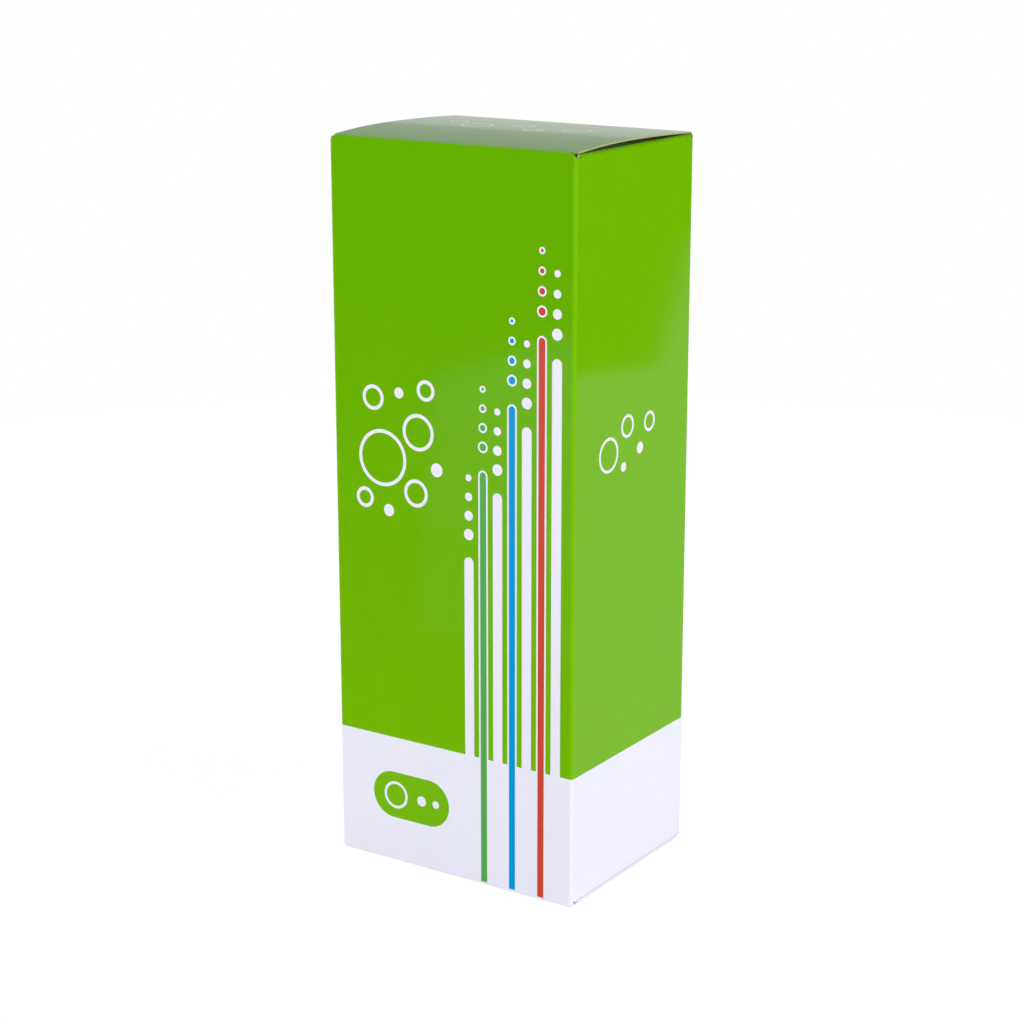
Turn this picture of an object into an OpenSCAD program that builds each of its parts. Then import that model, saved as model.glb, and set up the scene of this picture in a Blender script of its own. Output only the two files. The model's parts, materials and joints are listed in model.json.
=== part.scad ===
// Tuck-top carton of flexible drinking straws: one folded and glued sheet of
// coated board, its hinged lid with a tuck flap, and the loose straws inside.
// The front panel faces -Y, +Z is up and the origin is under the centre of the base.

/* [Straws] */
// Length of a straw with its pleats pushed together
straw_l = 197; // [120:1:240]
// Outside diameter of a straw
straw_d = 5.9; // [5:0.1:8]
// Wall thickness of a straw
straw_wall = 0.16; // [0.14:0.01:0.3]
// Plain stretch between the pleats and the drinking end
straw_tip_l = 40; // [25:1:60]
// Pleats in the bendable stretch
pleat_count = 10; // [6:1:16]
// Length of one pleat
pleat_pitch = 1.4; // [1:0.1:2.5]
// Depth of one pleat
pleat_depth = 0.6; // [0.3:0.05:0.8]
// Straws in each row across the carton
row_straws = 10; // [5:1:14]
// Rows of straws, each staggered against the next
straw_rows = 10; // [5:1:14]
// Gap between neighbours in one row
row_gap = 1.35; // [0.8:0.05:3]
// Gap between a straw and its neighbours in the next row
cross_gap = 0.55; // [0.3:0.01:1]

/* [Carton] */
// Clearance between the straws and the creases around them
straw_clearance = 0.3; // [0.2:0.05:1]
// Room from the tops of the straws to the front panel's top edge
headroom = 4.65; // [4:0.05:12]
// Thickness of the board
board_t = 0.45; // [0.35:0.05:0.6]
// Outside radius of each folded crease
fold_r = 1; // [1:0.1:1.6]
// Radius of the front panel's top corners
front_corner_r = 2.6; // [1.6:0.1:4]
// Width of the slit beside each fold, where one panel is cut free of the next
slit = 0.4; // [0.2:0.1:1]

/* [Seam and base] */
// Width of the glue flap inside the left side panel
glue_flap_w = 12; // [8:0.5:16]
// Set-back of the left side panel's cut edge from the back face
seam_setback = 0.9; // [0.7:0.1:1.1]
// Gap between the outer base flap's free edge and the back face
outer_base_gap = 0.9; // [0.5:0.1:3]
// Gap between the inner base flap's free edge and the front face
inner_base_gap = 3.2; // [2:0.1:12]
// Set-back of both long base flaps from the side faces
base_side_gap = 0.5; // [0.3:0.1:2]
// Gap between the two short base flaps, which fold in from the side panels
short_base_gap = 18.8; // [4:0.1:26]
// Radius of the base flaps' free corners
base_corner_r = 2; // [0.5:0.5:6]

/* [Dust flaps] */
// Gap between the two dust flaps, which fold in from the side panels
dust_gap = 22.8; // [4:0.1:26]
// How far each slanted edge of a flap comes in
flap_taper = 5; // [2:0.5:8]
// Radius of a dust flap's free corners
dust_corner_r = 4; // [1:0.5:6]
// Clearance between the dust flaps and the path of the tuck flap
dust_clearance = 0.4; // [0.2:0.05:1]
// Clearance between the closed lid and the dust flaps under it
lid_rest_gap = 0.1; // [0.05:0.05:0.3]

/* [Lid] */
// Clearance between the lid's cut edges and the side panels
lid_side_gap = 0.1; // [0.05:0.05:0.5]
// Rise of the bowed lid over its two folds
lid_crown = 1; // [0.5:0.05:2]
// Distance from the tuck flap's fold back to the highest line of the lid
lid_peak = 23; // [15:0.5:35]
// Length of the tuck flap below its fold
tuck_l = 15; // [11:0.5:17]
// Lean of the tuck flap into the carton, in degrees
tuck_lean = 9; // [8.5:0.25:11]
// Radius of the tuck flap's free corners
tuck_corner_r = 9; // [4:0.5:10]
// Set-back of the tuck flap's ends from the lid's cut edges
tuck_inset = 0.8; // [0.6:0.1:3]
// How far each end of the tuck flap slants in
tuck_taper = 1.5; // [0:0.5:4]
// Clearance between the tuck flap's fold and the front panel
tuck_clearance = 0.3; // [0.2:0.05:0.6]

/* [Hidden] */
// Facets in a full circle: of a crease, and of a straw
$fn = 96;
straw_fn = 36;
// Facets of a flap's rounded corner, of each crease of the lid and of each half of its bow
corner_steps = 10;
crease_steps = 12;
bow_steps = 16;
// Small overlap that joins neighbouring stretches of the one sheet
weld = 0.02;
// How far a cut runs past the board
overcut = 1;

// Spacing of the straws along a row and from row to row, and the floor that they cover
row_pitch = straw_d + row_gap;
row_step = sqrt(pow(straw_d + cross_gap, 2) - pow(row_pitch / 2, 2));
straws_w = straw_d + (row_straws - 0.5) * row_pitch;
straws_d = straw_d + (straw_rows - 1) * row_step;
// Depth from the front panel's inner face to the back of the leaning tuck flap
tuck_depth = tuck_clearance + fold_r * (1 - cos(tuck_lean)) + tuck_l * sin(tuck_lean)
    + board_t * cos(tuck_lean);
// The carton's outside width and depth: room for the straws, beside its creases and
// behind its tuck flap
carton_w = straws_w + 2 * (max(fold_r, 2 * board_t) + straw_clearance);
carton_d = board_t + tuck_depth + straws_d + fold_r + 2 * straw_clearance;

// Outer faces of the side and back panels, and the centres of their creases
side_x = carton_w / 2;
back_y = carton_d / 2;
crease_x = side_x - fold_r;
crease_y = back_y - fold_r;

// Heights of the base: its inner long flap, its short flaps, and the floor on top of them
inner_base_z = board_t;
short_base_z = 2 * board_t;
floor_z = 3 * board_t;
// Heights of the top: the front edge, the hinge crease, the tops of the dust flaps
// and the centres of their creases
carton_h = floor_z + straw_l + headroom;
hinge_z = carton_h - fold_r;
dust_z = carton_h - board_t - lid_rest_gap;
dust_crease_z = dust_z - fold_r;

// Half the width of the lid, and the centre of the crease of its tuck flap
lid_half_w = side_x - board_t - lid_side_gap;
tuck_crease_y = -back_y + board_t + tuck_clearance + fold_r;
// Highest line of the lid, and for the bow on each side of it, the slope at its crease
// and its radius
peak_y = tuck_crease_y + lid_peak;
peak_z = hinge_z + fold_r + lid_crown;
front_slope = 2 * atan(lid_crown / lid_peak);
front_r = fold_r + lid_peak / sin(front_slope);
back_slope = 2 * atan(lid_crown / (crease_y - peak_y));
back_r = fold_r + (crease_y - peak_y) / sin(back_slope);
// The swinging tuck flap never comes nearer to the hinge line than this
tuck_swing_r = (back_y - tuck_crease_y) * cos(tuck_lean) + fold_r - board_t;
// Front and back ends of the dust flaps
dust_front_y = back_y - tuck_swing_r + dust_clearance;
dust_back_y = crease_y - slit;

// Place of the first straw, at the front left
first_straw_x = (straw_d - straws_w) / 2;
first_straw_y = crease_y - straw_clearance - straws_d + straw_d / 2;
// Each inner straw stands off its even place by a quarter of the gap beside it
wander = cross_gap / 4;
// Height where the pleats of a straw begin
pleats_z = straw_l - straw_tip_l - pleat_count * pleat_pitch;

// Colours of the print and of the straws' stripes
colours = 3;
print_green = [0.42, 0.71, 0.02];
stripe_red = [0.80, 0.27, 0.20];
stripe_blue = [0.02, 0.60, 0.86];
stripe_green = [0.30, 0.62, 0.33];

// Points of the arc that rounds corner b, which lies between a and c
function rounded_corner(a, b, c, r) =
    let (u = (a - b) / norm(a - b),
         v = (c - b) / norm(c - b),
         half = acos(u * v) / 2,
         centre = b + (u + v) / norm(u + v) * r / sin(half),
         start = b + u * r / tan(half) - centre,
         from = atan2(start[1], start[0]),
         turn = sign(v[0] * u[1] - v[1] * u[0]) * (180 - 2 * half) / corner_steps)
    r == 0 ? [b] : [for (i = [0 : corner_steps])
        centre + r * [cos(from + i * turn), sin(from + i * turn)]];

// An outline with each corner rounded by its own radius
function rounded_outline(points, radii) =
    let (n = len(points))
    [for (i = [0 : n - 1])
        each rounded_corner(points[(i + n - 1) % n], points[i], points[(i + 1) % n], radii[i])];

// A bend of board about the origin, between two angles, in plan or in section
module bend(from, to) {
    mid = (from + to) / 2;
    reach = 2 * fold_r;
    intersection() {
        difference() {
            circle(r = fold_r);
            circle(r = fold_r - board_t);
        }
        polygon(concat([[0, 0]],
                       [for (a = [from, mid, to]) reach * [cos(a), sin(a)]]));
    }
}

// A rectangle between two opposite corners, in plan
module area(low, high) {
    translate(low) square(high - low);
}

// A block between two opposite corners
module block(low, high) {
    translate(low) cube(high - low);
}

// Draws a section in the YZ plane along X, from -half_w to half_w
module across(half_w) {
    translate([-half_w, 0, 0]) rotate([90, 0, 90]) linear_extrude(2 * half_w) children();
}

// Draws a section in the XZ plane along Y, between two places
module along(from_y, to_y) {
    translate([0, to_y, 0]) rotate([90, 0, 0]) linear_extrude(to_y - from_y) children();
}

// The tube in plan: four panels, three plain creases, and the glued seam at the back left
module tube_outline() {
    glue_x = -side_x + board_t;
    area([-crease_x - weld, -back_y], [crease_x + weld, -back_y + board_t]);
    area([side_x - board_t, -crease_y - weld], [side_x, crease_y + weld]);
    area([glue_x + fold_r - weld, back_y - board_t], [crease_x + weld, back_y]);
    area([-side_x, -crease_y - weld], [glue_x, back_y - seam_setback]);
    // The glue flap lies inside the left panel, so its crease is one board further in
    area([glue_x - weld, crease_y - glue_flap_w], [glue_x + board_t, crease_y + weld]);
    translate([-crease_x, -crease_y]) bend(180, 270);
    translate([crease_x, -crease_y]) bend(270, 360);
    translate([crease_x, crease_y]) bend(0, 90);
    translate([glue_x + fold_r, crease_y]) bend(90, 180);
}

// What lies outside a round top corner of the front panel, whose circle is at the origin
module corner_waste() {
    difference() {
        square(2 * front_corner_r);
        circle(r = front_corner_r);
    }
}

// The four panels, each trimmed to its own creases or cut edge at the top and at the base
module walls() {
    out_x = side_x + overcut;
    out_y = back_y + overcut;
    out_z = carton_h + overcut;
    difference() {
        translate([0, 0, fold_r]) linear_extrude(carton_h - fold_r) tube_outline();
        // Side panels: down to the dust flaps' creases, and a little higher beside them
        block([-out_x, dust_front_y - slit, dust_crease_z], [out_x, dust_back_y + slit, out_z]);
        block([-out_x, -crease_y, dust_z], [out_x, crease_y, out_z]);
        block([-out_x, -crease_y, 0], [out_x, crease_y, short_base_z + fold_r]);
        // Back panel: from its base crease to the hinge crease
        block([-out_x, crease_y, hinge_z], [out_x, out_y, out_z]);
        block([-out_x, crease_y, 0], [out_x, out_y, inner_base_z + fold_r]);
        // Front panel: its round top corners
        for (s = [0, 1]) mirror([s, 0, 0]) along(-out_y, -crease_y)
            translate([side_x - front_corner_r, carton_h - front_corner_r]) corner_waste();
    }
}

// A flap that tapers from its crease at x = 0 to its free edge, with round free corners
module flap_outline(free_x, low, high, corner_r) {
    polygon(rounded_outline(
        [[weld, low], [free_x, low + flap_taper], [free_x, high - flap_taper], [weld, high]],
        [0, corner_r, corner_r, 0]));
}

// Right dust flap: it bends in from the side panel and lies level under the lid
module dust_flap() {
    low = dust_front_y;
    high = dust_back_y;
    translate([crease_x, 0, dust_crease_z]) along(low, high) bend(0, 90);
    translate([crease_x, 0, dust_z - board_t]) linear_extrude(board_t)
        flap_outline(dust_gap / 2 - crease_x, low, high, dust_corner_r);
}

// Right short base flap: the innermost layer, on which the straws stand
module short_base_flap() {
    low = -crease_y + slit;
    high = crease_y - slit;
    translate([crease_x, 0, short_base_z + fold_r]) along(low, high) bend(270, 360);
    translate([crease_x, 0, short_base_z]) linear_extrude(board_t)
        flap_outline(short_base_gap / 2 - crease_x, low, high, base_corner_r);
}

// Outer long base flap: it bends under from the front panel and closes the base. Where its
// crease meets the vertical creases, the board is pressed round
module outer_base_flap() {
    w = side_x - base_side_gap;
    translate([0, -crease_y, fold_r]) {
        across(crease_x) bend(180, 270);
        for (s = [0, 1]) mirror([s, 0, 0]) translate([crease_x, 0, 0])
            rotate([0, 0, -90]) rotate_extrude(angle = 90) bend(270, 360);
    }
    linear_extrude(board_t) polygon(rounded_outline(
        [[-w, -crease_y - weld], [w, -crease_y - weld],
         [w, back_y - outer_base_gap], [-w, back_y - outer_base_gap]],
        [0, 0, base_corner_r, base_corner_r]));
}

// Inner long base flap: it bends in from the back panel, between the other two layers
module inner_base_flap() {
    w = side_x - base_side_gap;
    translate([0, crease_y, inner_base_z + fold_r]) across(crease_x - board_t) bend(270, 360);
    translate([0, 0, inner_base_z]) linear_extrude(board_t) polygon(rounded_outline(
        [[-w, crease_y + weld], [w, crease_y + weld],
         [w, -back_y + inner_base_gap], [-w, -back_y + inner_base_gap]],
        [0, 0, base_corner_r, base_corner_r]));
}

// The folded carton without its lid, one sheet glued at the seam and at the base
module carton() {
    color(print_green) {
        walls();
        for (s = [0, 1]) mirror([s, 0, 0]) {
            dust_flap();
            short_base_flap();
        }
        outer_base_flap();
        inner_base_flap();
    }
}

// Points of an arc, without its first point
function arc(centre, r, from, to, steps) =
    [for (i = [1 : steps])
        let (a = from + (to - from) * i / steps)
        centre + r * [cos(a), sin(a)]];

// The lid in section: its outer face, or the line inset below it, from the hinge crease
// over the bow to the end of the tuck flap's crease
function lid_line(inset) = concat(
    [[back_y - inset, hinge_z]],
    arc([crease_y, hinge_z], fold_r - inset, 0, 90 - back_slope, crease_steps),
    arc([peak_y, peak_z - back_r], back_r - inset, 90 - back_slope, 90, bow_steps),
    arc([peak_y, peak_z - front_r], front_r - inset, 90, 90 + front_slope, bow_steps),
    arc([tuck_crease_y, hinge_z], fold_r - inset, 90 + front_slope, 180 + tuck_lean,
        crease_steps));

// A stretch of the lid's section, between two points of its line
module lid_stretch(first, last) {
    outer = lid_line(0);
    inner = lid_line(board_t);
    polygon(concat([for (i = [first : last]) outer[i]],
                   [for (i = [last : -1 : first]) inner[i]]));
}

// The lid: a bowed panel, hinged at the back, and a tuck flap that leans into the carton
module lid() {
    bow_end = crease_steps + 2 * bow_steps;
    tuck_half_w = lid_half_w - tuck_inset;
    color(print_green) {
        across(lid_half_w) lid_stretch(0, bow_end);
        across(tuck_half_w) lid_stretch(bow_end - 1, bow_end + crease_steps);
        translate([0, tuck_crease_y, hinge_z]) rotate([tuck_lean, 0, 0])
            along(-fold_r, -fold_r + board_t)
                polygon(rounded_outline(
                    [[-tuck_half_w, weld], [tuck_half_w, weld],
                     [tuck_half_w - tuck_taper, -tuck_l], [-tuck_half_w + tuck_taper, -tuck_l]],
                    [0, 0, tuck_corner_r, tuck_corner_r]));
    }
}

// Outline of a straw's skin at radius r: plain, pleated, then plain to the drinking end
function skin(r) = concat(
    [[r, 0]],
    [for (i = [0 : 2 * pleat_count]) [r - (i % 2) * pleat_depth, pleats_z + i * pleat_pitch / 2]],
    [[r, straw_l]]);

function reversed(points) = [for (i = [len(points) - 1 : -1 : 0]) points[i]];

// One straw, standing on its foot
module straw() {
    rotate_extrude($fn = straw_fn)
        polygon(concat(skin(straw_d / 2), reversed(skin(straw_d / 2 - straw_wall))));
}

// A repeatable number from 0 to 1 for straw k, different for each choice that is made
function chance(k, choice) =
    let (v = 4375.8 * sin(137.51 * k + 71.3 * choice))
    v - floor(v);

// Colour of straw k: every three straws in turn hold all three colours, shuffled
function stripe(k) = (k + floor(colours * chance(floor(k / colours), 2))) % colours;

// Place of straw i in row j. A straw clear of both short base flaps stands one board lower
function straw_place(i, j) =
    let (turn = 360 * chance(i + j * row_straws, 1),
         x = first_straw_x + (i + (j % 2) / 2) * row_pitch,
         y = first_straw_y + j * row_step,
         inner = i > 0 && i < row_straws - 1 && j > 0 && j < straw_rows - 1,
         on_short_flap = abs(x) + straw_d / 2 + wander > short_base_gap / 2)
    [x + (inner ? wander * cos(turn) : 0),
     y + (inner ? wander * sin(turn) : 0),
     on_short_flap ? floor_z : short_base_z];

// All straws with one colour of stripe
module striped_straws(colour) {
    for (j = [0 : straw_rows - 1], i = [0 : row_straws - 1])
        if (stripe(i + j * row_straws) == colour) translate(straw_place(i, j)) straw();
}

module red_striped_straws() {
    color(stripe_red) striped_straws(0);
}

module blue_striped_straws() {
    color(stripe_blue) striped_straws(1);
}

module green_striped_straws() {
    color(stripe_green) striped_straws(2);
}

carton();
lid();
red_striped_straws();
blue_striped_straws();
green_striped_straws();
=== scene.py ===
import json
import random
from math import cos, pi, radians

import bpy
from mathutils import Matrix, Vector

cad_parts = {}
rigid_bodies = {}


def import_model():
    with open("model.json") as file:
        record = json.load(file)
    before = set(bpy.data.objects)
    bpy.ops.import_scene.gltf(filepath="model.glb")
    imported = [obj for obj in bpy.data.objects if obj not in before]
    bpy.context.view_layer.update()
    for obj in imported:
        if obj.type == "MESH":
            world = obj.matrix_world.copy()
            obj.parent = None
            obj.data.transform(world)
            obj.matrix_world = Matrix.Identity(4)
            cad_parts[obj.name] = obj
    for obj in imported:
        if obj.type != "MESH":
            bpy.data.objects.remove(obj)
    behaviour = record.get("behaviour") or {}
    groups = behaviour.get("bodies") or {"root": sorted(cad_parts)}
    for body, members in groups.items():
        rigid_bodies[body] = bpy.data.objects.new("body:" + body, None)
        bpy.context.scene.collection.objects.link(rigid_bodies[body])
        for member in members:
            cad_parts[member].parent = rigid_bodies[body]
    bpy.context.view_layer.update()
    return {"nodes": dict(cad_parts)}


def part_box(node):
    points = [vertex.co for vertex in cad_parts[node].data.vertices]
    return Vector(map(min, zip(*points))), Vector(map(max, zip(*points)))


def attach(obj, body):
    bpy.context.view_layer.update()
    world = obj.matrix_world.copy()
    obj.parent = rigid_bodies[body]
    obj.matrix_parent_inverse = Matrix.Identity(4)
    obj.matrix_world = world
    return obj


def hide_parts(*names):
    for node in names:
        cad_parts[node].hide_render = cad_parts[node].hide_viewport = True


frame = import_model()

# The carton
# One sheet of white-lined board, printed and varnished on its outside, cut and creased,
# folded round the straws and glued at the back left corner and under the base.
MM = 0.001
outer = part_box("carton")
side_x, back_y = outer[1].x / MM, outer[1].y / MM
carton_h = outer[1].z / MM
fold_r = 1.0
smooth_up_to, flat_within, same_way_within = radians(35), radians(0.1), radians(11.5)
same_point = 0.001 * MM


def only(piece):
    """Nothing but this piece is selected, and it is the one that is worked on."""
    bpy.ops.object.select_all(action="DESELECT")
    piece.select_set(True)
    bpy.context.view_layer.objects.active = piece


def skin_of(node, name):
    """The node's loose triangles joined into one skin, with its creases shaded smooth."""
    piece = bpy.data.objects.new(name, frame["nodes"][node].data.copy())
    bpy.context.collection.objects.link(piece)
    piece.data.materials.clear()
    only(piece)
    bpy.ops.object.mode_set(mode="EDIT")
    bpy.ops.mesh.select_all(action="SELECT")
    bpy.ops.mesh.customdata_custom_splitnormals_clear()
    bpy.ops.mesh.remove_doubles(threshold=same_point)
    bpy.ops.mesh.dissolve_limited(angle_limit=flat_within)
    bpy.ops.object.mode_set(mode="OBJECT")
    bpy.ops.object.shade_smooth_by_angle(angle=smooth_up_to)
    return piece


def face_next_to(piece, place, facing):
    """The face nearest to a place, in mm, among those that face about one way."""
    near = [f for f in piece.data.polygons if f.normal.dot(Vector(facing)) > cos(same_way_within)]
    return min(near, key=lambda f: (f.center / MM - Vector(place)).length)


def line_with(piece, material, *starts):
    """Gives a material to the faces at some places, and to all that follow round the folds."""
    piece.data.materials.append(material)
    only(piece)
    for elements in (piece.data.polygons, piece.data.edges, piece.data.vertices):
        elements.foreach_set("select", [False] * len(elements))
    for place, facing in starts:
        face_next_to(piece, place, facing).select = True
    bpy.ops.object.mode_set(mode="EDIT")
    bpy.ops.mesh.select_mode(type="FACE")
    bpy.ops.mesh.select_linked(delimit={"SHARP"})
    piece.active_material_index = len(piece.data.materials) - 1
    bpy.ops.object.material_slot_assign()
    bpy.ops.object.mode_set(mode="OBJECT")


def flat_stays_flat(piece):
    """Turns the normals at each crease to its broad panels, so that they show no bulge."""
    only(piece)
    weigh = piece.modifiers.new("weigh_normals", "WEIGHTED_NORMAL")
    weigh.keep_sharp = True
    bpy.ops.object.modifier_apply(modifier=weigh.name)


def maths(tree, operation, *values):
    """One step of arithmetic on numbers or sockets."""
    step = tree.nodes.new("ShaderNodeMath")
    step.operation = operation
    for socket, value in zip(step.inputs, values):
        if isinstance(value, (int, float)):
            socket.default_value = value
        else:
            tree.links.new(value, socket)
    return step.outputs[0]


def place_in_mm(tree):
    """The place on the piece in millimetres: as one vector, and as x, y and z."""
    place = tree.nodes.new("ShaderNodeTexCoord")
    scale = tree.nodes.new("ShaderNodeVectorMath")
    scale.operation = "SCALE"
    scale.inputs["Scale"].default_value = 1 / MM
    parts = tree.nodes.new("ShaderNodeSeparateXYZ")
    tree.links.new(place.outputs["Object"], scale.inputs[0])
    tree.links.new(scale.outputs[0], parts.inputs[0])
    return scale.outputs[0], *parts.outputs


def speckle(tree, place, size, detail=2.0):
    """An even noise from 0 to 1 whose lumps are about this many millimetres."""
    noise = tree.nodes.new("ShaderNodeTexNoise")
    noise.inputs["Scale"].default_value = 1 / size
    noise.inputs["Detail"].default_value = detail
    tree.links.new(place, noise.inputs["Vector"])
    return noise.outputs["Fac"]


def drawn_out(tree, place, share):
    """A place for a pattern that changes only this small share as fast upwards as across."""
    stretch = tree.nodes.new("ShaderNodeMapping")
    stretch.inputs["Scale"].default_value = (1, 1, share)
    tree.links.new(place, stretch.inputs["Vector"])
    return stretch.outputs[0]


def colour_of(*srgb):
    """A screen colour, 0 to 255, as the linear colour that Blender uses."""
    return [((c / 255 + 0.055) / 1.055) ** 2.4 if c > 10 else c / 255 / 12.92 for c in srgb] + [1]


def mixed(tree, share, under, over):
    """Lays one colour over another where share is 1."""
    mix = tree.nodes.new("ShaderNodeMix")
    mix.data_type = "RGBA"
    # Inputs 6 and 7 and output 2 of this node are the ones that carry colours
    for socket, value in ((0, share), (6, under), (7, over)):
        if isinstance(value, (float, list)):
            mix.inputs[socket].default_value = value
        else:
            tree.links.new(value, mix.inputs[socket])
    return mix.outputs[2]


def raised(tree, height, distance):
    """A relief of this many millimetres, for the shader's normal."""
    bump = tree.nodes.new("ShaderNodeBump")
    bump.inputs["Distance"].default_value = distance * MM
    tree.links.new(height, bump.inputs["Height"])
    return bump.outputs["Normal"]


def new_material(name):
    """A new material, with its node tree and the shader in it."""
    material = bpy.data.materials.new(name)
    material.use_nodes = True
    return material, material.node_tree, material.node_tree.nodes["Principled BSDF"]


def within(tree, distance, edge=0.05):
    """1 where a distance is below 0, fading to 0 over an edge of this width."""
    soft = maths(tree, "MULTIPLY_ADD", distance, -1 / edge, 0.5)
    soft.node.use_clamp = True
    return soft


def past(tree, across, half):
    """How far in mm a place lies past the sides of a strip of this half width."""
    return maths(tree, "SUBTRACT", maths(tree, "ABSOLUTE", across), half)


def apart(tree, across, up, from_across=0.0, from_up=0.0):
    """Distance in mm between the place on a panel and a point of it."""
    a = maths(tree, "POWER", maths(tree, "SUBTRACT", across, from_across), 2)
    b = maths(tree, "POWER", maths(tree, "SUBTRACT", up, from_up), 2)
    return maths(tree, "SQRT", maths(tree, "ADD", a, b))


def bubbles(tree, across, up, rings, line):
    """Printed rings, each given by its centre and radius in mm; small ones are filled."""
    covered = 0.0
    for ring_across, ring_up, r in rings:
        off = maths(tree, "SUBTRACT", apart(tree, across, up, ring_across, ring_up), r)
        if r > 2 * line:
            off = past(tree, off, line / 2)
        covered = maths(tree, "MAXIMUM", within(tree, off), covered)
    return covered


def upright_bands(tree, x, z):
    """Seven upright bands with dots above their ends: each band's number from the left, 1 in
    the columns that hold them, and how far outside them a place is in mm."""
    bands, first_x, pitch, band_half = 7, 3.4, 4.6, 1.5
    start_z, first_end, end_step, cored_higher = 0.5, 92, 9.5, 15
    number = maths(tree, "FLOOR", maths(tree, "DIVIDE", maths(tree, "SUBTRACT", x, first_x), pitch))
    columns = maths(tree, "LESS_THAN", past(tree, maths(tree, "SUBTRACT", number, (bands - 1) / 2), 0),
                    bands / 2)
    middle = maths(tree, "MULTIPLY_ADD", number, pitch, first_x + pitch / 2)
    off_x = maths(tree, "SUBTRACT", x, middle)
    cored = maths(tree, "FLOORED_MODULO", number, 2)
    end = maths(tree, "MULTIPLY_ADD", number, end_step, first_end)
    past_end = maths(tree, "SUBTRACT", z, maths(tree, "MULTIPLY_ADD", cored, cored_higher, end))
    off_band = apart(tree, off_x, maths(tree, "MAXIMUM", past_end, 0))
    off_band = maths(tree, "MAXIMUM", maths(tree, "SUBTRACT", off_band, band_half),
                     maths(tree, "SUBTRACT", start_z, z))

    # The dots stand in a row from the second step above the end, each smaller than the last
    dots, dot_pitch, dot_r, smaller = 4, 5.2, 1.75, 0.2
    step = maths(tree, "FLOOR", maths(tree, "DIVIDE", past_end, dot_pitch))
    dot_z = maths(tree, "MULTIPLY_ADD", step, dot_pitch, dot_pitch / 2)
    off_dot = apart(tree, off_x, maths(tree, "SUBTRACT", past_end, dot_z))
    off_dot = maths(tree, "MULTIPLY_ADD", step, smaller, maths(tree, "SUBTRACT", off_dot, dot_r))
    off_row = past(tree, maths(tree, "SUBTRACT", step, (dots + 1) / 2), 0)
    no_dot = maths(tree, "GREATER_THAN", off_row, dots / 2)
    off_dot = maths(tree, "MULTIPLY_ADD", no_dot, carton_h, off_dot)
    return number, columns, maths(tree, "MINIMUM", off_band, off_dot)


# The lighter green is partly a real change in the ink, partly painted light: the glow the table bounces
# onto the lower walls and the side panels' brighter light
green_ink, low_and_lit_green_ink = colour_of(101, 174, 1), colour_of(117, 183, 3)
# The crease green is partly ink thinned by the stretch, partly a painted highlight on the rounded
# creases
worn_and_lit_ink, badge_ink = colour_of(120, 188, 12), colour_of(118, 185, 17)
stripe_inks = [colour_of(87, 170, 82), colour_of(3, 153, 214), colour_of(203, 73, 51)]
white_board = colour_of(237, 236, 251)
foot_h = 37.15


def blotchy_and_lit_green(tree, place, x, z):
    """The green ink in soft blotches, lighter and a little yellower lower down and on the side panels:
    partly a real change in the ink, partly painted light, the glow the table bounces onto the lower
    walls and the side panels' brighter light.
    """
    fade_h, side_share = 130, 0.45
    blotch_size, blotch_share = 2.2, 0.45
    deeper = maths(tree, "MULTIPLY_ADD", z, 1 / fade_h, -foot_h / fade_h)
    deeper.node.use_clamp = True
    sides = within(tree, maths(tree, "SUBTRACT", side_x - fold_r, maths(tree, "ABSOLUTE", x)))
    deeper = maths(tree, "MULTIPLY", deeper, maths(tree, "MULTIPLY_ADD", sides, side_share - 1, 1))
    blotches = maths(tree, "SUBTRACT", speckle(tree, place, blotch_size), 0.5)
    deeper = maths(tree, "MULTIPLY_ADD", blotches, blotch_share, deeper)
    return mixed(tree, deeper, low_and_lit_green_ink, green_ink)


def varnished(tree, shader, ink, place, gloss):
    """Coated board under varnish: mottled ink, a fine orange peel and uneven gloss."""
    grain_size, grain_share = 0.45, 0.07
    cloud_size, cloud_share = 14, 0.05
    rough_size, least_rough, rougher = 1.6, 0.045, 0.03
    peel_size, peel_h, grain_in_peel = 1.1, 0.004, 0.35
    grain = speckle(tree, place, grain_size)
    clouds = speckle(tree, place, cloud_size)
    shade = maths(tree, "MULTIPLY_ADD", clouds, cloud_share, 1 - cloud_share / 2)
    shade = maths(tree, "MULTIPLY_ADD", maths(tree, "SUBTRACT", grain, 0.5), grain_share, shade)
    tone = tree.nodes.new("ShaderNodeVectorMath")
    tone.operation = "SCALE"
    tree.links.new(ink, tone.inputs[0])
    tree.links.new(shade, tone.inputs["Scale"])
    tree.links.new(tone.outputs[0], shader.inputs["Base Color"])
    shader.inputs["Specular IOR Level"].default_value = gloss
    rough = maths(tree, "MULTIPLY_ADD", speckle(tree, place, rough_size), rougher, least_rough)
    tree.links.new(rough, shader.inputs["Roughness"])
    peel = maths(tree, "MULTIPLY_ADD", grain, grain_in_peel, speckle(tree, place, peel_size))
    tree.links.new(raised(tree, peel, peel_h), shader.inputs["Normal"])


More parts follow.
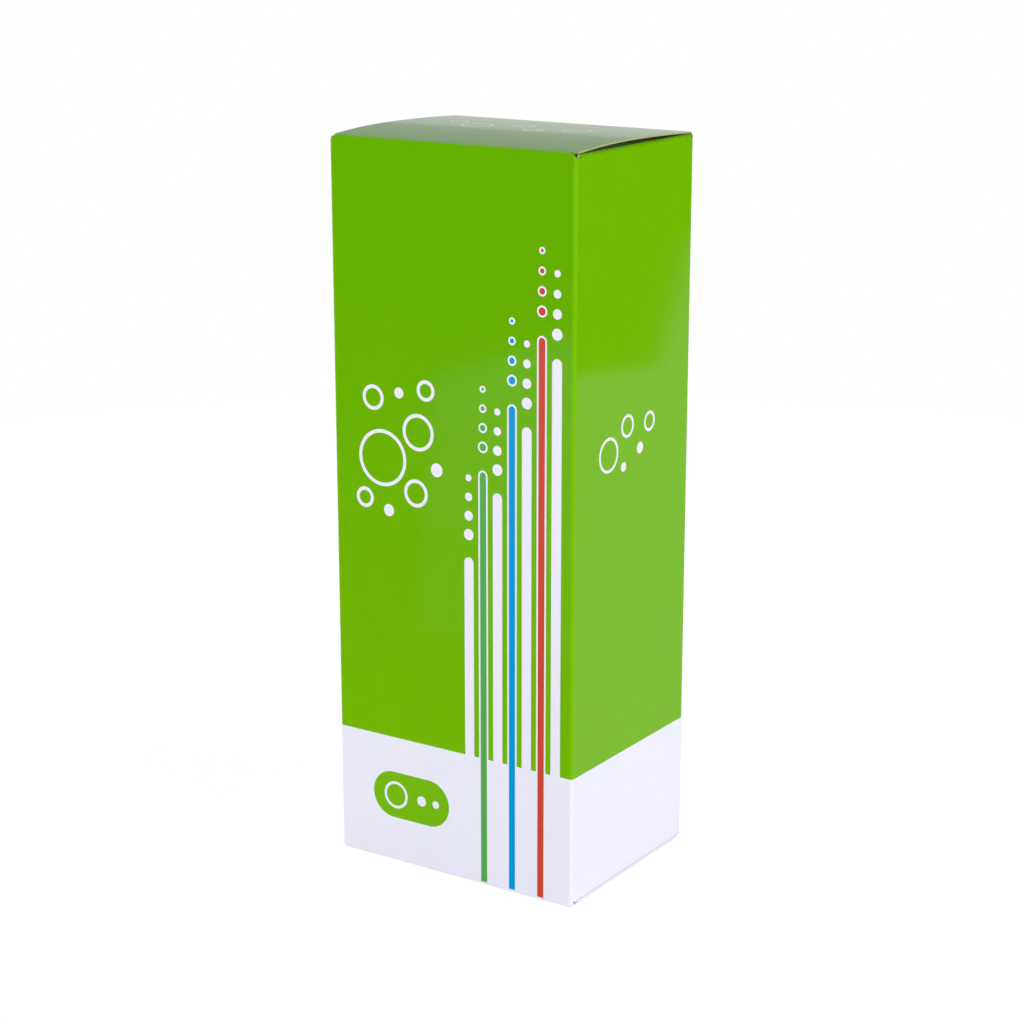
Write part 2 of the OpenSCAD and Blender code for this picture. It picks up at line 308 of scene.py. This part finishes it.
def printed_board():
    """The print: green over a white foot, with bands, bubbles and a badge on the front."""
    material, tree, shader = new_material("printed_board")
    place, x, y, z = place_in_mm(tree)
    front = within(tree, maths(tree, "ADD", y, back_y - fold_r))
    right = within(tree, maths(tree, "SUBTRACT", side_x - fold_r, x))
    above_foot = within(tree, maths(tree, "SUBTRACT", foot_h, z))
    ink = mixed(tree, above_foot, white_board, blotchy_and_lit_green(tree, place, x, z))

    # On the dust flaps, just under the lid, the green runs only a little past the crease
    bleed, flap_depth = 6, 2
    off_flap = maths(tree, "MAXIMUM", past(tree, x, side_x - bleed), past(tree, y, back_y - fold_r / 2))
    off_flap = maths(tree, "MAXIMUM", off_flap, maths(tree, "SUBTRACT", carton_h - flap_depth, z))
    ink = mixed(tree, within(tree, off_flap), ink, white_board)

    # Every other one of the white bands has a coloured core
    rim = 0.5
    number, columns, off_band = upright_bands(tree, x, z)
    columns = maths(tree, "MULTIPLY", columns, front)
    ink = mixed(tree, maths(tree, "MULTIPLY", within(tree, off_band), columns), ink, white_board)
    core = maths(tree, "MULTIPLY", within(tree, maths(tree, "ADD", off_band, rim)), columns)
    for i, colour in enumerate(stripe_inks):
        own_band = maths(tree, "COMPARE", number, 2 * i + 1, 0.5)
        ink = mixed(tree, maths(tree, "MULTIPLY", own_band, core), ink, colour)

    # White bubbles on the left of the front panel and on the right side panel
    front_rings = [(-22.5, 117, 7.4), (-10.6, 125.5, 4.6), (-11.5, 108.6, 3.4), (-25.4, 133.4, 3.0),
                   (-16.8, 135.6, 1.5), (-4.6, 116.0, 1.9), (-20.6, 102.6, 1.7),
                   (-28.6, 105.2, 2.4), (-8.0, 137.2, 2.4)]
    side_rings = [(-12.6, 122.5, 4.4), (-3.2, 128.6, 2.8), (3.4, 121.4, 1.6), (-5.0, 117.8, 1.3),
                  (8.2, 127.8, 2.4)]
    on_front = maths(tree, "MULTIPLY", bubbles(tree, x, z, front_rings, line=1.0), front)
    on_side = maths(tree, "MULTIPLY", bubbles(tree, y, z, side_rings, line=0.8), right)
    ink = mixed(tree, maths(tree, "MAXIMUM", on_front, on_side), ink, white_board)

    # A plain badge on the foot: a green bar with round ends, and a white ring and two dots on it
    badge_x, badge_z, badge_r, badge_half = -14.3, 20.0, 6.8, 6.1
    past_bar = past(tree, maths(tree, "SUBTRACT", x, badge_x), badge_half)
    off_badge = apart(tree, maths(tree, "MAXIMUM", past_bar, 0), maths(tree, "SUBTRACT", z, badge_z))
    badge = within(tree, maths(tree, "SUBTRACT", off_badge, badge_r))
    ink = mixed(tree, maths(tree, "MULTIPLY", badge, front), ink, badge_ink)
    badge_rings = [(badge_x - 5.2, badge_z, 3.6), (badge_x + 3.6, badge_z, 1.5),
                   (badge_x + 8.4, badge_z, 1.1)]
    on_badge = maths(tree, "MULTIPLY", bubbles(tree, x, z, badge_rings, line=0.8), front)
    ink = mixed(tree, on_badge, ink, white_board)

    # Lighter green in small patches along the creases: partly ink thinned where the creases stretch it,
    # partly a painted highlight for the light the rounded creases catch
    crease_edge, patch_size, most_thin_and_lit, least_thin_and_lit = 0.8, 0.7, 0.5, 0.1
    to_crease = maths(tree, "MINIMUM", past(tree, x, side_x - fold_r), past(tree, y, back_y - fold_r))
    crease = within(tree, maths(tree, "MULTIPLY", to_crease, -1), crease_edge)
    thin_and_lit = maths(tree, "MULTIPLY_ADD", speckle(tree, place, patch_size), most_thin_and_lit, least_thin_and_lit)
    thin_and_lit = maths(tree, "MULTIPLY", maths(tree, "MULTIPLY", thin_and_lit, crease), above_foot)
    ink = mixed(tree, thin_and_lit, ink, worn_and_lit_ink)
    varnished(tree, shader, ink, place, gloss=0.4)
    return material


def bare_board():
    """The unprinted inside of the sheet: off-white, dull, with short grey-brown fibres."""
    material, tree, shader = new_material("bare_board")
    place, *_ = place_in_mm(tree)
    fibre_size, fibre_h, cloud_size = 0.5, 0.03, 9
    fleck_from, fleck_share = 0.66, 0.6
    fibres = speckle(tree, drawn_out(tree, place, 0.25), fibre_size, detail=4.0)
    flecks = within(tree, maths(tree, "SUBTRACT", fleck_from, fibres))
    clouds = speckle(tree, place, cloud_size)
    tone = mixed(tree, clouds, colour_of(222, 215, 202), colour_of(232, 227, 217))
    tone = mixed(tree, maths(tree, "MULTIPLY", flecks, fleck_share), tone, colour_of(176, 160, 138))
    tree.links.new(tone, shader.inputs["Base Color"])
    shader.inputs["Roughness"].default_value = 0.8
    shader.inputs["Specular IOR Level"].default_value = 0.3
    tree.links.new(raised(tree, fibres, fibre_h), shader.inputs["Normal"])
    return material


def cut_board():
    """The cut edge of the sheet: a core of pressed fibre, cream above and whiter at the foot."""
    material, tree, shader = new_material("cut_board")
    place, _, _, z = place_in_mm(tree)
    fibre_size, fibre_h, change_over = 0.16, 0.04, 2
    fibres = speckle(tree, place, fibre_size, detail=3.0)
    cream = mixed(tree, fibres, colour_of(150, 148, 98), colour_of(184, 181, 136))
    pale = mixed(tree, fibres, colour_of(226, 226, 238), colour_of(240, 240, 250))
    at_foot = within(tree, maths(tree, "SUBTRACT", z, foot_h), change_over)
    tree.links.new(mixed(tree, at_foot, cream, pale), shader.inputs["Base Color"])
    shader.inputs["Roughness"].default_value = 0.85
    shader.inputs["Specular IOR Level"].default_value = 0.2
    tree.links.new(raised(tree, fibres, fibre_h), shader.inputs["Normal"])
    return material


cut_edge, bare_inside = cut_board(), bare_board()
carton = skin_of("carton", "carton_board")
carton.data.materials.append(cut_edge)
front_middle = (0, -back_y, carton_h / 2)
from_back = 6
base_flap = (0, back_y - from_back, 0)
back_crease = (0, back_y, carton_h - fold_r)
line_with(carton, printed_board(), (front_middle, (0, -1, 0)), (base_flap, (0, 0, -1)))
line_with(carton, bare_inside, (front_middle, (0, 1, 0)), (back_crease, (0, 0, 1)))
flat_stays_flat(carton)
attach(carton, "carton")
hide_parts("carton")


# The lid
# The top panel of the same sheet, creased at the back, with a flap that tucks in behind
# the front panel. Its outside is printed green, and its two side edges are cut.
lid_low, lid_high = (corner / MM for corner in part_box("lid"))


def printed_lid_board():
    """Green print with a few white bubbles, under the same varnish as the carton's."""
    material, tree, shader = new_material("printed_lid_board")
    place, x, y, _ = place_in_mm(tree)
    rings = [(-14, 4, 4.2), (-2, 9, 3.0), (6, 1, 2.4), (16, 7, 3.6), (-24, 10, 2.4)]
    ink = mixed(tree, bubbles(tree, x, y, rings, line=0.9), green_ink, white_board)
    varnished(tree, shader, ink, place, gloss=0.5)
    return material


lid = skin_of("lid", "lid_board")
lid.data.materials.append(cut_edge)
lid_top, tuck_end = (0, 0, lid_high.z), (0, lid_low.y, lid_low.z)
line_with(lid, printed_lid_board(), (lid_top, (0, 0, 1)), (tuck_end, (0, -1, 0)))
line_with(lid, bare_inside, (lid_top, (0, 0, -1)), (tuck_end, (0, 1, 0)), (back_crease, (0, 0, -1)))
flat_stays_flat(lid)
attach(lid, "lid")
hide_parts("lid")


# The straws
# A hundred thin tubes of white plastic, each drawn with two coloured stripes along it and
# pressed into ten pleats below its drinking end. They stand loose in the carton.
straw_r, straw_l, straw_wall = 2.95, 197.0, 0.16
tip_l, pleats, pleat_pitch, pleat_depth = 40.0, 10, 1.4, 0.6
straw_sides = 24
stripe_half = radians(34)


def places_of(node):
    """The foot of each straw that a node holds, in metres."""
    bunch = bpy.data.objects.new("bunch", frame["nodes"][node].data.copy())
    bpy.context.collection.objects.link(bunch)
    only(bunch)
    bpy.ops.object.mode_set(mode="EDIT")
    bpy.ops.mesh.select_all(action="SELECT")
    bpy.ops.mesh.remove_doubles(threshold=same_point)
    bpy.ops.mesh.separate(type="LOOSE")
    bpy.ops.object.mode_set(mode="OBJECT")
    feet = []
    for straw in bpy.context.selected_objects:
        low, high = Vector(straw.bound_box[0]), Vector(straw.bound_box[6])
        feet.append(((low.x + high.x) / 2, (low.y + high.y) / 2, low.z))
    bpy.ops.object.delete()
    return sorted(feet)


def new_straw():
    """One straw on the origin: a ring drawn up into a tube, drawn in at each pleat."""
    bpy.ops.object.select_all(action="DESELECT")
    bpy.ops.mesh.primitive_circle_add(vertices=straw_sides, radius=straw_r * MM, fill_type="NOTHING")
    straw = bpy.context.object
    bpy.ops.object.mode_set(mode="EDIT")
    bpy.ops.mesh.select_mode(type="EDGE")
    bpy.ops.mesh.select_all(action="SELECT")
    narrow = (straw_r - pleat_depth) / straw_r
    below_pleats = straw_l - tip_l - pleats * pleat_pitch
    pleat = [(pleat_pitch / 2, narrow), (pleat_pitch / 2, 1 / narrow)]
    for rise, change in [(below_pleats, 1)] + pleat * pleats + [(tip_l, 1)]:
        bpy.ops.mesh.extrude_region_move(TRANSFORM_OT_translate={"value": (0, 0, rise * MM)})
        bpy.ops.transform.resize(value=(change, change, 1))
    bpy.ops.mesh.select_all(action="SELECT")
    bpy.ops.mesh.normals_make_consistent(inside=False)
    bpy.ops.object.mode_set(mode="OBJECT")
    return straw


def striped_plastic(name, stripe_colour):
    """White plastic with two stripes, just see-through enough to glow at its rim."""
    material, tree, shader = new_material(name)
    place, *_ = place_in_mm(tree)
    stripe_edge, cloud_size, streak_size, streak_h = 0.04, 6, 0.5, 0.01
    side = tree.nodes.new("ShaderNodeAttribute")
    side.attribute_name = "stripe_side"
    off_stripe = maths(tree, "SUBTRACT", cos(stripe_half), side.outputs["Fac"])
    stripe = within(tree, off_stripe, stripe_edge)
    clouds = speckle(tree, place, cloud_size)
    white = mixed(tree, clouds, colour_of(228, 226, 244), colour_of(240, 239, 250))
    tree.links.new(mixed(tree, stripe, white, stripe_colour), shader.inputs["Base Color"])
    shader.inputs["Roughness"].default_value = 0.28
    shader.inputs["Subsurface Weight"].default_value = 0.15
    shader.inputs["Subsurface Scale"].default_value = 0.6 * MM
    streaks = speckle(tree, drawn_out(tree, place, 0.04), streak_size)
    tree.links.new(raised(tree, streaks, streak_h), shader.inputs["Normal"])
    return material


def bunch_of(colour, stripe_colour, turns):
    """All the straws with one colour of stripe, each turned its own way."""
    node = colour + "_striped_straws"
    one = new_straw()
    # 1 along the middles of the two stripes, and 0 halfway between them
    side = one.data.attributes.new("stripe_side", "FLOAT", "POINT")
    side.data.foreach_set("value", [abs(v.co.x) / v.co.xy.length for v in one.data.vertices])
    copies = []
    for foot in places_of(node):
        straw = bpy.data.objects.new("straw", one.data.copy())
        turned = Matrix.Rotation(turns.uniform(0, pi), 4, "Z")
        straw.data.transform(Matrix.Translation(foot) @ turned)
        bpy.context.collection.objects.link(straw)
        copies.append(straw)
    bpy.data.objects.remove(one)
    only(copies[0])
    for straw in copies:
        straw.select_set(True)
    bpy.ops.object.join()
    bunch = copies[0]
    bunch.name = colour + "_straws"
    wall = bunch.modifiers.new("wall", "SOLIDIFY")
    wall.thickness = straw_wall * MM
    wall.offset = -1
    bpy.ops.object.modifier_apply(modifier=wall.name)
    bpy.ops.object.shade_smooth_by_angle(angle=smooth_up_to)
    bunch.data.materials.append(striped_plastic(colour + "_striped_plastic", stripe_colour))
    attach(bunch, "carton")
    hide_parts(node)


seeded = random.Random(3)
for colour, stripe_colour in zip(("green", "blue", "red"), stripe_inks):
    bunch_of(colour, stripe_colour, seeded)


# The table, the lamps, the cards and the camera
# A white table, three soft lamps, glowing cards that only gloss sees as painted reflections, and the
# camera where the photographer stood: to the right of the front panel, a little above the lid. In
# metres.
def white_to_the_eye(tree):
    """1 for what the camera sees, straight or in gloss or through glass."""
    seen = tree.nodes.new("ShaderNodeLightPath").outputs
    straight = maths(tree, "MAXIMUM", seen["Is Camera Ray"], seen["Is Glossy Ray"])
    return maths(tree, "MAXIMUM", straight, seen["Is Transmission Ray"])


# The share of the table's shadows that shows near the object, the glow that lifts the rest to
# white, and how far from the object the shadows begin to fade and are gone
shadow_share, table_glow = 0.35, 1.24
shadow_near, shadow_far = 0.25, 0.60


def table_white():
    """A matt white floor that shows pure white where the object casts no shadow."""
    material, tree, shader = new_material("table_white")
    _, x, y, _ = place_in_mm(tree)
    shader.inputs["Base Color"].default_value = (0.9, 0.9, 0.9, 1)
    shader.inputs["Roughness"].default_value = 0.9
    glow = tree.nodes.new("ShaderNodeEmission")
    mix = tree.nodes.new("ShaderNodeMixShader")
    far = maths(tree, "DIVIDE", maths(tree, "SUBTRACT", apart(tree, x, y), shadow_near / MM),
                (shadow_far - shadow_near) / MM)
    far.node.use_clamp = True
    tree.links.new(maths(tree, "MULTIPLY_ADD", far, 1 - table_glow, table_glow), glow.inputs["Strength"])
    glowing = maths(tree, "MULTIPLY_ADD", far, shadow_share, 1 - shadow_share)
    tree.links.new(maths(tree, "MULTIPLY", white_to_the_eye(tree), glowing), mix.inputs[0])
    tree.links.new(shader.outputs[0], mix.inputs[1])
    tree.links.new(glow.outputs[0], mix.inputs[2])
    tree.links.new(mix.outputs[0], tree.nodes["Material Output"].inputs["Surface"])
    return material


table_size = 30
bpy.ops.object.select_all(action="DESELECT")
bpy.ops.mesh.primitive_plane_add(size=table_size)
table = bpy.context.object
table.name = "table"
table.data.materials.append(table_white())

room_light = 0.38
world = bpy.data.worlds.new("room")
bpy.context.scene.world = world
world.use_nodes = True
sky = world.node_tree.nodes["Background"]
sky.inputs["Color"].default_value = (1, 1, 1, 1)
seen_white = white_to_the_eye(world.node_tree)
strength = maths(world.node_tree, "MULTIPLY_ADD", seen_white, 1 - room_light, room_light)
world.node_tree.links.new(strength, sky.inputs["Strength"])

lamp_size, lamp_h = 0.7, 0.36


def soft_lamp(name, x, y, power):
    """A square soft box that looks at the middle of the carton, and that no gloss mirrors."""
    place = (x, y, lamp_h)
    aim = Vector((0, 0, carton_h / 2 * MM)) - Vector(place)
    bpy.ops.object.light_add(type="AREA", location=place,
                             rotation=aim.to_track_quat("-Z", "Y").to_euler())
    lamp = bpy.context.object
    lamp.name = name
    lamp.data.shape = "SQUARE"
    lamp.data.size = lamp_size
    lamp.data.energy = power
    lamp.visible_camera = lamp.visible_glossy = False


soft_lamp("lamp_front", -0.28, -1.32, 9.7)
soft_lamp("lamp_right", 1.37, 0.05, 12.0)
soft_lamp("lamp_behind", -0.95, 1.00, 9.0)


def painted_reflection(name, shade, corners):
    """A painted reflection: a card that only gloss can see, glowing at an even strength between black
    (0) and white (1), and giving no light or shadow.
    """
    bpy.ops.object.select_all(action="DESELECT")
    bpy.ops.mesh.primitive_plane_add()
    sheet = bpy.context.object
    sheet.name = name
    for vertex, corner in zip(sheet.data.vertices, corners):
        vertex.co = corner
    material, tree, _ = new_material(name)
    glow = tree.nodes.new("ShaderNodeEmission")
    glow.inputs["Strength"].default_value = shade
    tree.links.new(glow.outputs[0], tree.nodes["Material Output"].inputs["Surface"])
    sheet.data.materials.append(material)
    sheet.visible_camera = sheet.visible_diffuse = sheet.visible_shadow = False
    sheet.visible_transmission = False


def standing(x0, y0, x1, y1, height=1.2):
    """The corners of a card on edge between two points of the table."""
    return [(x0, y0, 0), (x1, y1, 0), (x0, y0, height), (x1, y1, height)]


def lying(*corners, height=0.0002):
    """The four corners of a card that lies on the table, row by row."""
    return [(x, y, height) for x, y in corners]


# Black cards stand round the object like a dark room, as painted dark reflections. The feet of the first
# two meet at a bend, so the edge of the painted glare that the side panel mirrors from the glowing card
# under them bends too
painted_reflection("card_right", 0.0, standing(0.60, 0.12, 0.382, 0.605))
painted_reflection("card_right_behind", 0.0, standing(0.382, 0.605, 0.602, 1.038))
painted_reflection("card_behind", 0.0, standing(-0.10, 1.038, 1.50, 1.038))
painted_reflection("card_left", 0.0, standing(-0.39, 0.05, -0.39, -2.0))
painted_reflection("card_front", 0.0, standing(-0.39, -2.0, 1.50, -2.0))
painted_reflection("card_far_right", 0.0, standing(1.50, -2.0, 1.50, 1.30))
painted_reflection("card_under_right", 0.45, lying((0.0, -0.02), (1.5, -0.02), (0.0, 2.0), (1.5, 2.0)))

# Pale glowing cards behind on the left, a painted reflection that the lid mirrors
painted_reflection("card_back_low", 0.66, standing(-1.04, 0.44, 0.11, 1.20, height=0.30))
painted_reflection("card_back", 0.50, standing(-1.05, 0.45, 0.10, 1.21))

# The front panel mirrors a dark card on the table, and over it three glowing strips that paint its glare
# as a painted reflection: further from the object they are paler and reach further left
glare_slant, glare_right = 0.685, 0.05
painted_reflection("card_under_front", 0.02, lying((-1.6, -2.0), (1.5, -2.0), (-1.6, -0.03), (1.5, -0.03)))
for name, shade, far, near in (("far", 0.45, -0.74, -0.46), ("middle", 0.32, -0.46, -0.32),
                               ("near", 0.16, -0.32, -0.20)):
    painted_reflection("card_glare_" + name, shade,
         lying((far * glare_slant, far), (glare_right, far), (near * glare_slant, near),
               (glare_right, near), height=0.0004))

camera_place = (0.3542, -0.5330, 0.2731)
camera_tilt, camera_turn = radians(74.736), radians(33.615)
lens_in_mm, sensor_in_mm = 84.08, 36
bpy.ops.object.camera_add(location=camera_place, rotation=(camera_tilt, 0, camera_turn))
camera = bpy.context.object
camera.data.lens = lens_in_mm
camera.data.sensor_width = sensor_in_mm
bpy.context.scene.camera = camera
bpy.context.scene.view_settings.view_transform = "Standard"
